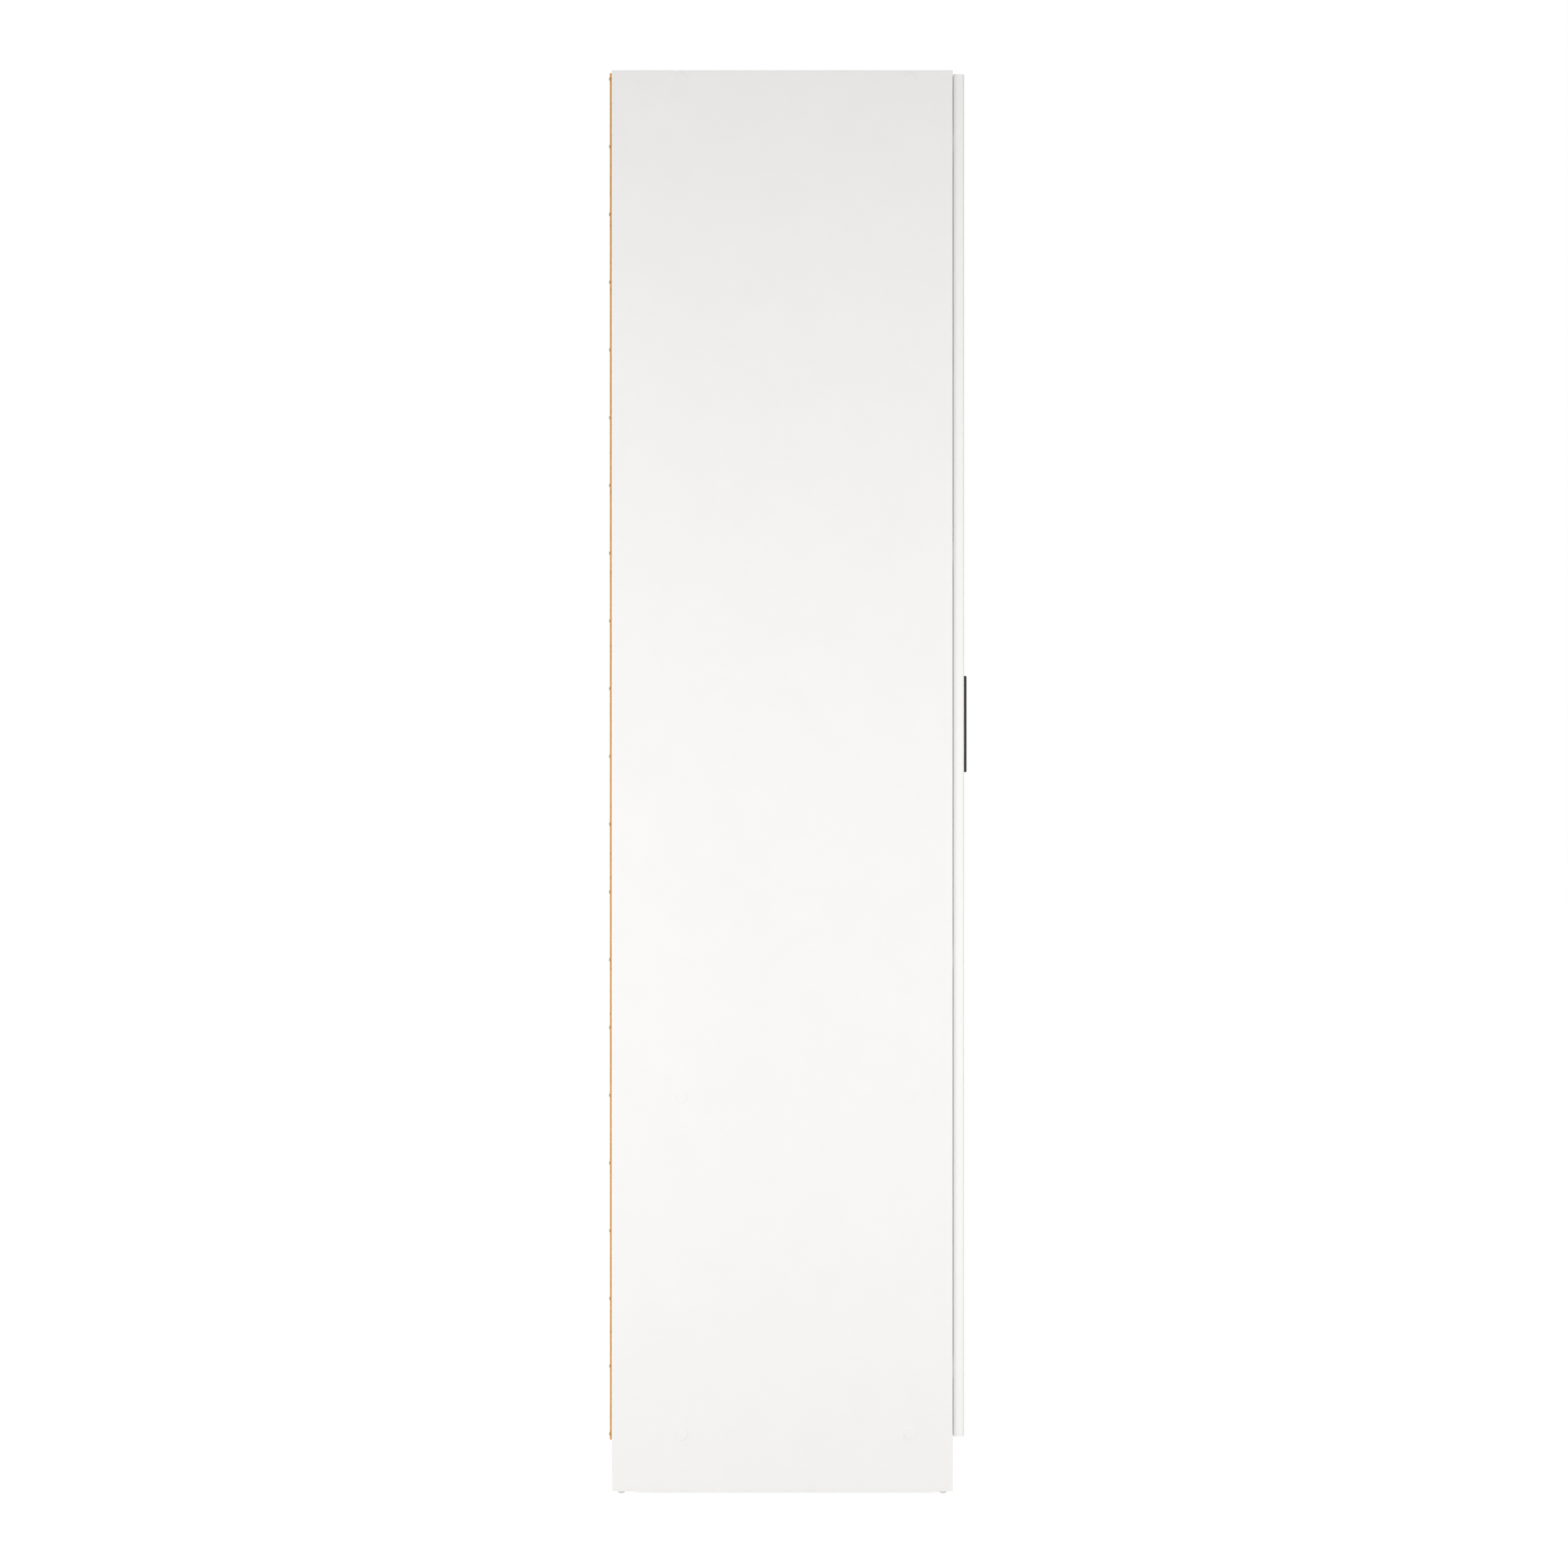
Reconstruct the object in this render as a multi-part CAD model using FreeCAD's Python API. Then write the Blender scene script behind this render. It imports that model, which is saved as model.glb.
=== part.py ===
import FreeCAD
import Part
import math
import os

# A white two-door wardrobe: board carcass, nailed hardboard back, doors on cup hinges, shelves and a rail.
# Millimetres. X runs across the width, Y from front to back and Z up. The origin is on the floor, under the
# middle of the whole outline, handles and nail heads included. Left pieces are mirrored to make right ones.

Vector = FreeCAD.Vector
RIGHT = Vector(1, 0, 0)
LEFT = Vector(-1, 0, 0)
BACK = Vector(0, 1, 0)
FORWARD = Vector(0, -1, 0)
UP = Vector(0, 0, 1)

# Carcass boards
width = 1000.0
board = 16.0
side_height = 2096.0
side_depth = 503.0
edge_round = 1.0
top_drop = 4.0
plinth_height = 76.0
plinth_setback = 18.0
plinth_rear_setback = 30.0
lower_clear_height = 482.0
middle_shelf_setback = 8.0
hat_clear_height = 270.0
hat_shelf_setback = 30.0
hat_shelf_end_play = 0.8

# Play between a fastener and its hole, and how much deeper than its fastener a blind hole is
hole_play = 0.05
hole_spare = 1.0

# Cross recess in screw heads
recess_reach = 1.9
recess_width = 0.9
recess_depth = 0.9

# Board screws through the sides, their cover caps, and the dowels beside them
panel_screw_front_inset = 63.0
panel_screw_rear_inset = 103.0
panel_screw_radius = 3.5
panel_screw_length = 50.0
panel_screw_head_radius = 5.0
panel_screw_head = 4.0
panel_screw_key_sides = 6
panel_screw_key_radius = 2.3
panel_screw_key_depth = 2.5
cap_radius = 9.0
cap_thickness = 0.6
cap_round = 0.4
dowel_radius = 4.0
dowel_length = 35.0
dowel_in_side = 10.0
dowel_from_screw = 60.0

# Hardboard back in two sheets, with an H-shaped joining strip and nails
back_thickness = 2.8
back_inset = 1.5
strip_web = 1.2
strip_flange = 1.0
strip_half_width = 9.0
strip_slot_play = 0.05
strip_edge_play = 0.3
strip_notch_play = 0.1
nail_radius = 0.7
nail_length = 22.0
nail_head_radius = 2.4
nail_head = 1.1
nail_head_round = 0.5
nail_end_inset = 7.5
nails_per_side = 21
nail_spaces_across = 11

# Glides under the side panels
glide_radius = 6.25
glide_height = 4.0
glide_flat_radius = 2.6
glide_inset = 14.0
glide_pin_radius = 1.0
glide_pin_length = 14.0

# Pins that carry the hat shelf, with spare holes above and below
shelf_pin_radius = 2.5
shelf_pin_in_side = 8.0
shelf_pin_reach = 9.0
shelf_pin_inset = 75.0
shelf_pin_play = 0.05
shelf_hole_pitch = 32.0
shelf_holes_each_way = 2

# Oval clothes rail and its sockets
rail_height = 30.0
rail_thickness = 15.0
rail_wall = 1.0
rail_drop = 60.0
rail_end_play = 0.3
rail_socket_play = 0.15
socket_base = 3.0
socket_ear = 16.0
socket_side_margin = 2.0
socket_collar_wall = 2.0
socket_collar_depth = 12.0
socket_screw_offset = 24.0
socket_round = 4.0
socket_screw_radius = 1.75
socket_screw_length = 14.0
socket_screw_head_radius = 3.5
socket_screw_head = 2.0

# Angle brackets that tie the wardrobe to the wall
bracket_offset = 300.0
bracket_width = 30.0
bracket_leg = 40.0
bracket_thickness = 2.0
bracket_hole_radius = 3.0
bracket_hole_drop = 26.0
bracket_screws = 2
bracket_screw_spacing = 16.0
bracket_screw_from_back = 14.0
bracket_screw_radius = 1.75
bracket_screw_length = 12.0
bracket_screw_head_radius = 3.5
bracket_screw_head = 2.0

# Doors
door_thickness = 16.0
door_gap = 0.9
door_side_inset = 4.0
door_front_round = 2.0
door_centre_gap = 3.0
door_top_drop = 1.0
door_bottom_rise = 4.0
door_corner_clearance = 0.15
bumper_radius = 4.0
bumper_inset = 30.0
bumper_play = 0.1
bumper_round = 0.6

# Bar handles and the screws that hold them through the doors
handle_length = 152.0
handle_hole_spacing = 128.0
handle_width = 12.0
handle_bar = 6.0
handle_projection = 22.5
handle_leg_width = 9.0
handle_leg_height = 12.0
handle_leg_round = 2.0
handle_round = 1.5
handle_edge_distance = 40.0
handle_rise = 1058.0
handle_screw_radius = 2.0
handle_screw_bite = 9.0
handle_screw_head_radius = 4.0
handle_screw_head = 2.2
door_handle_hole_play = 0.25

# Cup hinges: a cup let into the door, an arm on a pin inside it, and a plate on the side panel
hinges_per_door = 4
hinge_end_distance = 100.0
cup_radius = 17.5
cup_wall = 0.6
cup_edge_distance = 1.9
cup_bore_play = 0.1
cup_floor_play = 1.55
cup_flange = 0.5
cup_flange_width = 3.0
cup_ear_spacing = 48.0
cup_ear_radius = 6.0
cup_screw_radius = 1.75
cup_screw_length = 10.0
cup_screw_head_radius = 3.4
cup_screw_head = 1.2
lug_length = 3.0
lug_play = 0.3
lug_cover = 1.3
pin_radius = 0.8
pin_running_play = 0.05
eye_radius = 1.6
eye_play = 0.3
arm_width = 6.0
arm_thickness = 1.6
arm_neck_reach = 14.0
arm_neck_angle = 7.4
arm_screw_line = 48.0
arm_screw_radius = 2.0
arm_screw_bite = 2.5
arm_screw_head_radius = 3.5
arm_screw_head = 2.0
channel_play = 0.2
channel_wall = 1.5
channel_lift = 0.5
plate_front = 17.0
plate_back = 59.0
plate_base = 2.0
plate_rail_width = 10.0
plate_screw_line = 37.0
plate_screw_spacing = 32.0
plate_wing_length = 14.0
plate_wing_reach = 22.0
plate_screw_radius = 1.75
plate_screw_length = 12.0
plate_screw_head_radius = 3.6
plate_screw_head = 2.0

# Planes of the carcass, worked out from the sizes above
outline_depth = handle_projection + door_thickness + door_gap + side_depth + back_thickness + nail_head
front = handle_projection + door_thickness + door_gap - outline_depth / 2
rear = front + side_depth
back_face = rear + back_thickness
side_out = -width / 2
side_in = side_out + board
side_low = glide_height
side_high = side_low + side_height
bottom_low = side_low + plinth_height
middle_low = bottom_low + board + lower_clear_height
top_high = side_high - top_drop
top_low = top_high - board
hat_low = top_low - hat_clear_height - board
rail_middle = Vector(0, (front + rear) / 2, hat_low - rail_drop)

# Fixed boards: the underside of each
fixed_boards = {"bottom_panel": bottom_low, "middle_shelf": middle_low, "top_panel": top_low}
screw_columns = (front + panel_screw_front_inset, rear - panel_screw_rear_inset)
dowel_columns = (screw_columns[0] + dowel_from_screw, screw_columns[1] - dowel_from_screw)
plinth_fronts = {"plinth_front": front + plinth_setback, "plinth_rear": rear - plinth_rear_setback - board}

# Door planes and hinge places
door_out = side_out + door_side_inset
door_in = -door_centre_gap / 2
door_low = bottom_low + door_bottom_rise
door_high = top_high - door_top_drop
door_back = front - door_gap
door_front = door_back - door_thickness
hinge_step = (door_high - door_low - 2 * hinge_end_distance) / (hinges_per_door - 1)
hinge_heights = [door_low + hinge_end_distance + hinge_step * i for i in range(hinges_per_door)]
bumper_heights = ((door_low + bottom_low + board) / 2, (door_high + top_low) / 2)

# Hinge pivot: close to the cup's wall, and deep enough for the door's corner to turn clear of the side panel
cup_middle = door_out + cup_edge_distance + cup_radius
cup_inner_radius = cup_radius - cup_wall
eye_wall = cup_middle - math.sqrt(cup_inner_radius ** 2 - (arm_width / 2) ** 2)
pivot_x = eye_wall + eye_play + eye_radius
corner_reach = pivot_x - door_out - edge_round
corner_room = door_gap - door_corner_clearance
pivot_depth = edge_round + (corner_reach ** 2 - corner_room ** 2) / (2 * corner_room)
pivot_y = door_back - pivot_depth
cup_depth = pivot_depth + eye_radius + cup_floor_play + cup_wall
leg_in = pivot_x + arm_neck_reach
leg_out = leg_in + arm_thickness
plate_top = side_in + plate_base

# Handle place on the left door
handle_x = door_in - handle_edge_distance
handle_z = door_low + handle_rise
handle_leg_heights = (handle_z - handle_hole_spacing / 2, handle_z + handle_hole_spacing / 2)


def block(x0, x1, y0, y1, z0, z1):
    """A plain box between two corners."""
    return Part.makeBox(x1 - x0, y1 - y0, z1 - z0, Vector(x0, y0, z0))


def rod(radius, start, direction, length):
    """A round bar from a point along a direction."""
    return Part.makeCylinder(radius, length, start, direction)


def mirrored(shape):
    """The same piece on the other side of the wardrobe."""
    return shape.mirror(Vector(0, 0, 0), RIGHT)


def both_sides(shapes):
    """Pieces of the left half, with their mirror images."""
    return shapes + [mirrored(shape) for shape in shapes]


def placed(shape, seat, direction):
    """A copy of a piece made along +Z, moved to its seat and turned to a direction."""
    copy = shape.copy()
    copy.Placement = FreeCAD.Placement(seat, FreeCAD.Rotation(UP, direction))
    return copy


def headed(head_radius, head, head_round, shank_radius, length):
    """A round-headed fastener seated on the XY plane, with its shank along +Z."""
    top = rod(head_radius, Vector(0, 0, -head), UP, head)
    rim = [edge for edge in top.Edges if edge.BoundBox.ZMax < -head / 2]
    return top.makeFillet(head_round, rim).fuse(rod(shank_radius, Vector(), UP, length))


def screw(head_radius, head, shank_radius, length):
    """A pan-head screw with a cross recess, seated on the XY plane and driven along +Z."""
    depth = recess_depth - head
    half = recess_width / 2
    recess = block(-recess_reach, recess_reach, -half, half, -head, depth)
    crossed = block(-half, half, -recess_reach, recess_reach, -head, depth)
    return headed(head_radius, head, head / 2, shank_radius, length).cut([recess, crossed])


def screw_hole(seat, direction, radius, length):
    """The blind hole for a screw's shank."""
    return rod(radius + hole_play, seat, direction, length + hole_spare)


def oval_bar(start, length, thickness, height):
    """A bar along +X with an upright oval section."""
    radius = thickness / 2
    straight = height / 2 - radius
    x, y, z = start
    middle = block(x, x + length, y - radius, y + radius, z - straight, z + straight)
    ends = [rod(radius, Vector(x, y, z + side * straight), RIGHT, length) for side in (-1, 1)]
    return middle.fuse(ends).removeSplitter()


def front_edges_rounded(shape):
    """A board with the long edges of its front face rounded, as edging leaves them."""
    face_y = shape.BoundBox.YMin
    across = [edge for edge in shape.Edges if abs(edge.BoundBox.YMax - face_y) < edge_round / 2]
    longest = max(edge.Length for edge in across)
    return shape.makeFillet(edge_round, [edge for edge in across if edge.Length > longest / 2])


def save(name, shapes):
    """Write one node: a single piece or a group of like pieces."""
    pieces = shapes if isinstance(shapes, list) else [shapes]
    shape = pieces[0] if len(pieces) == 1 else Part.makeCompound(pieces)
    shape.exportStep("parts/" + name + ".step")


def panel_screw_seats():
    """Where the board screws enter the left side panel."""
    return [Vector(side_out, y, low + board / 2) for low in fixed_boards.values() for y in screw_columns]


def dowel_starts():
    """The outer ends of the dowels in the left side panel."""
    x = side_in - dowel_in_side
    boards = [Vector(x, y, low + board / 2) for low in fixed_boards.values() for y in dowel_columns]
    plinths = [Vector(x, y + board / 2, side_low + plinth_height / 2) for y in plinth_fronts.values()]
    return boards + plinths


def panel_screw():
    """A board screw with a flat head and a hexagonal key hole, driven along +Z from the XY plane."""
    head = rod(panel_screw_head_radius, Vector(), UP, panel_screw_head)
    shank = rod(panel_screw_radius, Vector(), UP, panel_screw_length)
    corners = [Vector(panel_screw_key_radius, 0, 0)]
    turn = FreeCAD.Rotation(UP, 360 / panel_screw_key_sides)
    for _ in range(panel_screw_key_sides):
        corners.append(turn.multVec(corners[-1]))
    key = Part.Face(Part.makePolygon(corners)).extrude(UP * panel_screw_key_depth)
    return head.fuse(shank).cut(key)


def panel_screw_holes():
    """Holes for the board screws, cut in the left side panel and the board ends."""
    holes = []
    for seat in panel_screw_seats():
        holes.append(screw_hole(seat, RIGHT, panel_screw_radius, panel_screw_length))
        holes.append(rod(panel_screw_head_radius + hole_play, seat, RIGHT, panel_screw_head))
    return holes


def dowel_holes():
    """Holes for the dowels on the left, a little longer than the dowels at both ends."""
    play = Vector(-hole_spare / 2, 0, 0)
    length = dowel_length + hole_spare
    return [rod(dowel_radius + hole_play, start + play, RIGHT, length) for start in dowel_starts()]


def screw_cap():
    """A thin round cover cap on the XY plane, with its rim rounded."""
    disc = rod(cap_radius, Vector(), UP, cap_thickness)
    rim = [edge for edge in disc.Edges if edge.BoundBox.ZMin > cap_thickness / 2]
    return disc.makeFillet(cap_round, rim)


def side_nail_seats():
    """Nails along the left rear edge, evenly spaced down the back."""
    first = bottom_low + nail_end_inset
    step = (top_high - nail_end_inset - first) / (nails_per_side - 1)
    return [Vector(side_out + board / 2, back_face, first + step * i) for i in range(nails_per_side)]


def board_nail_seats():
    """Nails across the back into the rear edges of the fixed boards, left half."""
    first = side_out + board / 2
    step = -2 * first / nail_spaces_across
    columns = [first + step * i for i in range(1, nail_spaces_across) if first + step * i < 0]
    return [Vector(x, back_face, low + board / 2) for low in fixed_boards.values() for x in columns]


def nail_holes():
    """Holes for the nails of the left half, through the back and into the boards."""
    seats = side_nail_seats() + board_nail_seats()
    return [screw_hole(seat, FORWARD, nail_radius, nail_length) for seat in seats]


def glide_seats():
    """Glides under the left side panel, near its front and rear ends."""
    x = side_out + board / 2
    return [Vector(x, front + glide_inset, side_low), Vector(x, rear - glide_inset, side_low)]


def glide():
    """A domed glide that hangs below the XY plane, flat where it meets the floor, with its pin along +Z."""
    rise = (glide_radius ** 2 - glide_flat_radius ** 2 + glide_height ** 2) / (2 * glide_height)
    ball_radius = math.hypot(glide_flat_radius, rise)
    ball = Part.makeSphere(ball_radius, Vector(0, 0, rise - glide_height))
    slab = block(-ball_radius, ball_radius, -ball_radius, ball_radius, -glide_height, 0)
    return ball.common(slab).fuse(rod(glide_pin_radius, Vector(), UP, glide_pin_length))


def shelf_pin_columns():
    """The front and rear rows of shelf pin holes."""
    return (front + shelf_pin_inset, rear - shelf_pin_inset)


def shelf_pin_level():
    """The height of the pins that carry the hat shelf."""
    return hat_low - shelf_pin_radius - shelf_pin_play


def shelf_pin_holes():
    """Rows of shelf pin holes in the left side panel."""
    steps = range(-shelf_holes_each_way, shelf_holes_each_way + 1)
    levels = [shelf_pin_level() + shelf_hole_pitch * step for step in steps]
    starts = [Vector(side_in, y, z) for y in shelf_pin_columns() for z in levels]
    return [screw_hole(start, LEFT, shelf_pin_radius, shelf_pin_in_side) for start in starts]


def hinge_plate_screw_seats():
    """Screws that hold the left hinge plates to the side panel."""
    y = front + plate_screw_line
    offsets = (-plate_screw_spacing / 2, plate_screw_spacing / 2)
    return [Vector(plate_top, y, z + offset) for z in hinge_heights for offset in offsets]


def socket_screw_seats():
    """Screws that hold the left rail socket to the side panel."""
    offsets = (-socket_screw_offset, socket_screw_offset)
    x = side_in + socket_base
    return [Vector(x, rail_middle.y, rail_middle.z + offset) for offset in offsets]


def side_panel():
    """The left side panel, drilled for everything that it carries."""
    panel = block(side_out, side_in, front, rear, side_low, side_high)
    at_front = [edge for edge in panel.Edges if edge.BoundBox.YMax < rear - edge_round]
    at_top = [edge for edge in panel.Edges if edge.BoundBox.ZMin > side_high - edge_round]
    at_top = [edge for edge in at_top if edge.BoundBox.YMax > front + edge_round]
    panel = panel.makeFillet(edge_round, at_front + at_top)
    holes = panel_screw_holes() + dowel_holes() + shelf_pin_holes() + nail_holes()
    for seat in hinge_plate_screw_seats():
        holes.append(screw_hole(seat, LEFT, plate_screw_radius, plate_screw_length))
    for seat in socket_screw_seats():
        holes.append(screw_hole(seat, LEFT, socket_screw_radius, socket_screw_length))
    for seat in glide_seats():
        holes.append(screw_hole(seat, UP, glide_pin_radius, glide_pin_length))
    return panel.cut(holes)


def strip_notch(low):
    """Room for the joining strip's inner flange at the rear edge of a fixed board."""
    depth = strip_flange + strip_slot_play + strip_notch_play
    half = strip_half_width + strip_notch_play
    return block(-half, half, rear - depth, rear, low, low + board)


def bracket_screw_seats():
    """Screws that hold the left wall bracket under the top panel."""
    z = top_low - bracket_thickness
    first = rear - bracket_screw_from_back
    return [Vector(-bracket_offset, first - bracket_screw_spacing * i, z) for i in range(bracket_screws)]


def fixed_board(name, setback):
    """A board between the side panels, drilled at both ends and along its rear edge."""
    low = fixed_boards[name]
    panel = front_edges_rounded(block(side_in, -side_in, front + setback, rear, low, low + board))
    holes = panel_screw_holes() + dowel_holes() + nail_holes()
    if name == "top_panel":
        for seat in bracket_screw_seats():
            holes.append(screw_hole(seat, UP, bracket_screw_radius, bracket_screw_length))
    return panel.cut(both_sides(holes) + [strip_notch(low)])


def hat_shelf():
    """The loose shelf that lies on the shelf pins."""
    x = side_in + hat_shelf_end_play
    return front_edges_rounded(block(x, -x, front + hat_shelf_setback, rear, hat_low, hat_low + board)).cut(
        strip_notch(hat_low))


def plinth(name):
    """A plinth board under the bottom panel, dowelled to the side panels."""
    y = plinth_fronts[name]
    return block(side_in, -side_in, y, y + board, side_low, bottom_low).cut(both_sides(dowel_holes()))


def back_panel():
    """The left hardboard sheet, from the side panel to the joining strip."""
    edge = -strip_web / 2 - strip_edge_play
    sheet = block(side_out + back_inset, edge, rear, back_face, bottom_low, top_high)
    return sheet.cut(nail_holes() + [bracket_hole()])


def back_joining_strip():
    """The H-shaped strip that grips both sheets where they meet."""
    inner = rear - strip_slot_play
    outer = back_face + strip_slot_play
    half = strip_half_width
    web = block(-strip_web / 2, strip_web / 2, inner, outer, bottom_low, top_high)
    flanges = [
        block(-half, half, inner - strip_flange, inner, bottom_low, top_high),
        block(-half, half, outer, outer + strip_flange, bottom_low, top_high),
    ]
    return web.fuse(flanges).removeSplitter()


def clothes_rail():
    """The oval tube between the sockets."""
    x = side_in + socket_base + rail_end_play
    start = Vector(x, rail_middle.y, rail_middle.z)
    tube = oval_bar(start, -2 * x, rail_thickness, rail_height)
    return tube.cut(oval_bar(start, -2 * x, rail_thickness - 2 * rail_wall, rail_height - 2 * rail_wall))


def rail_socket():
    """The left socket: a base on the side panel and an oval collar round the rail's end."""
    collar = 2 * (rail_socket_play + socket_collar_wall)
    half_y = (rail_thickness + collar) / 2 + socket_side_margin
    half_z = rail_height / 2 + socket_ear
    x = side_in + socket_base
    y, z = rail_middle.y, rail_middle.z
    base = block(side_in, x, y - half_y, y + half_y, z - half_z, z + half_z)
    corners = [edge for edge in base.Edges if edge.BoundBox.XLength > socket_base / 2]
    base = base.makeFillet(socket_round, corners)
    start = Vector(x, y, z)
    outer = oval_bar(start, socket_collar_depth, rail_thickness + collar, rail_height + collar)
    room = 2 * rail_socket_play
    inner = oval_bar(start, socket_collar_depth, rail_thickness + room, rail_height + room)
    holes = [rod(socket_screw_radius + hole_play, seat, LEFT, socket_base) for seat in socket_screw_seats()]
    return base.fuse(outer.cut(inner)).cut(holes)


def bracket_hole():
    """The wall screw's way through the left bracket and the back."""
    start = Vector(-bracket_offset, rear - bracket_thickness, top_low - bracket_hole_drop)
    return rod(bracket_hole_radius, start, BACK, bracket_thickness + back_thickness)


def wall_bracket():
    """The left angle bracket under the top panel and against the back."""
    x0 = -bracket_offset - bracket_width / 2
    x1 = -bracket_offset + bracket_width / 2
    shelf = block(x0, x1, rear - bracket_leg, rear, top_low - bracket_thickness, top_low)
    wall = block(x0, x1, rear - bracket_thickness, rear, top_low - bracket_leg, top_low)
    holes = [bracket_hole()]
    for seat in bracket_screw_seats():
        holes.append(rod(bracket_screw_radius + hole_play, seat, UP, bracket_thickness))
    return shelf.fuse(wall).removeSplitter().cut(holes)


def hinge_plate(z):
    """A left hinge plate: a cross-shaped base on the side panel and a rail for the arm."""
    half = plate_rail_width / 2
    wing = plate_wing_length / 2
    line = front + plate_screw_line
    rail = block(side_in, leg_in, front + plate_front, front + plate_back, z - half, z + half)
    wings = block(side_in, plate_top, line - wing, line + wing, z - plate_wing_reach, z + plate_wing_reach)
    corners = [edge for edge in wings.Edges if edge.BoundBox.XLength > plate_base / 2]
    wings = wings.makeFillet(wing / 2, corners)
    holes = [arm_screw_hole(z)]
    for seat in hinge_plate_screw_seats():
        holes.append(rod(plate_screw_radius + hole_play, seat, LEFT, plate_base))
    return rail.fuse(wings).removeSplitter().cut(holes)


def arm_screw_hole(z):
    """The hole for the screw that clamps a hinge arm to its plate."""
    seat = Vector(leg_out, front + arm_screw_line, z)
    return screw_hole(seat, LEFT, arm_screw_radius, arm_thickness + arm_screw_bite)


def hinge_arm(z):
    """A left hinge arm: an eye on the pin, a bent neck and a channel over the plate's rail."""
    tilt = math.radians(arm_neck_angle)
    half = arm_thickness / 2
    along = Vector(math.cos(tilt), -math.sin(tilt), 0)
    inwards = Vector(-math.sin(tilt), -math.cos(tilt), 0) * half
    low = z - arm_width / 2
    pivot = Vector(pivot_x, pivot_y, low)
    deep = pivot + inwards
    shallow = pivot - inwards
    end = front + plate_back
    outline = [
        deep,
        deep + along * ((leg_out - deep.x) / along.x),
        Vector(leg_out, end, low),
        Vector(leg_in, end, low),
        shallow + along * ((leg_in - shallow.x) / along.x),
        shallow,
        deep,
    ]
    strap = Part.Face(Part.makePolygon(outline)).extrude(UP * arm_width)
    eye = rod(eye_radius, pivot, UP, arm_width)
    inner = plate_rail_width / 2 + channel_play
    outer = inner + channel_wall
    start = front + plate_front
    foot = plate_top + channel_lift
    web = block(leg_in, leg_out, start, end, z - outer, z + outer)
    walls = [
        block(foot, leg_in, start, end, z - outer, z - inner),
        block(foot, leg_in, start, end, z + inner, z + outer),
    ]
    pin_hole = rod(pin_radius + pin_running_play, pivot, UP, arm_width)
    return strap.fuse([eye, web] + walls).removeSplitter().cut([pin_hole, arm_screw_hole(z)])


def pin_start(z):
    """The lower end of a left hinge pin, and its length."""
    length = arm_width + 2 * (lug_play + lug_length)
    return Vector(pivot_x, pivot_y, z - length / 2), length


def cup_screw_seats():
    """Screws that hold the left hinge cups to the door."""
    offsets = (-cup_ear_spacing / 2, cup_ear_spacing / 2)
    y = door_back + cup_flange
    return [Vector(cup_middle, y, z + offset) for z in hinge_heights for offset in offsets]


def hinge_cup(z):
    """A left hinge cup: a deep dish with two lugs for the pin and a flange with two ears."""
    mouth = Vector(cup_middle, door_back, z)
    rim = Vector(cup_middle, door_back + cup_flange, z)
    solid = rod(cup_radius, mouth, FORWARD, cup_depth)
    hollow = rod(cup_inner_radius, rim, FORWARD, cup_flange + cup_depth - cup_wall)
    inner = arm_width / 2 + lug_play
    outer = inner + lug_length
    lug_x = pivot_x + eye_radius
    lug_y = pivot_y + pin_radius + lug_cover
    floor = door_back - cup_depth
    lugs = [
        block(cup_middle - cup_radius, lug_x, floor, lug_y, z - outer, z - inner).common(solid),
        block(cup_middle - cup_radius, lug_x, floor, lug_y, z + inner, z + outer).common(solid),
    ]
    flange = rod(cup_radius + cup_flange_width, mouth, BACK, cup_flange)
    half = cup_ear_spacing / 2
    ear = block(cup_middle - cup_ear_radius, cup_middle + cup_ear_radius, mouth.y, rim.y, z - half, z + half)
    ends = [rod(cup_ear_radius, mouth + UP * side * half, BACK, cup_flange) for side in (-1, 1)]
    cut_off = door_out + cup_edge_distance + cup_wall
    trim = block(door_out - cup_radius, cut_off, mouth.y, rim.y, z - cup_radius, z + cup_radius)
    dish = solid.fuse([flange, ear] + ends).cut([hollow, trim])
    start, length = pin_start(z)
    holes = [rod(pin_radius + hole_play, start, UP, length)]
    for seat in cup_screw_seats():
        holes.append(rod(cup_screw_radius + hole_play, seat, FORWARD, cup_flange))
    return dish.fuse(lugs).cut(holes)


def rounded(panel, span, y, radius):
    """The panel with its two long edges at a depth y rounded, those that run the given way."""
    runs = [edge for edge in panel.Edges if getattr(edge.BoundBox, span) > door_thickness]
    return panel.makeFillet(radius, [edge for edge in runs if abs(edge.BoundBox.Center.y - y) < edge_round])


def door_blank(span):
    """The left door with the edges that run one way rounded, the front ones more than the rear ones."""
    blank = block(door_out, door_in, door_front, door_back, door_low, door_high)
    return rounded(rounded(blank, span, door_front, door_front_round), span, door_back, edge_round)


def door_panel():
    """The left door, bored for its hinge cups and drilled for its handle."""
    holes = []
    for z in hinge_heights:
        mouth = Vector(cup_middle, door_back, z)
        holes.append(rod(cup_radius + cup_bore_play, mouth, FORWARD, cup_depth + cup_bore_play))
    for seat in cup_screw_seats():
        holes.append(screw_hole(seat, FORWARD, cup_screw_radius, cup_screw_length))
    for z in handle_leg_heights:
        start = Vector(handle_x, door_back, z)
        holes.append(rod(handle_screw_radius + door_handle_hole_play, start, FORWARD, door_thickness))
    return door_blank("XLength").common(door_blank("ZLength")).cut(holes)


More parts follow.
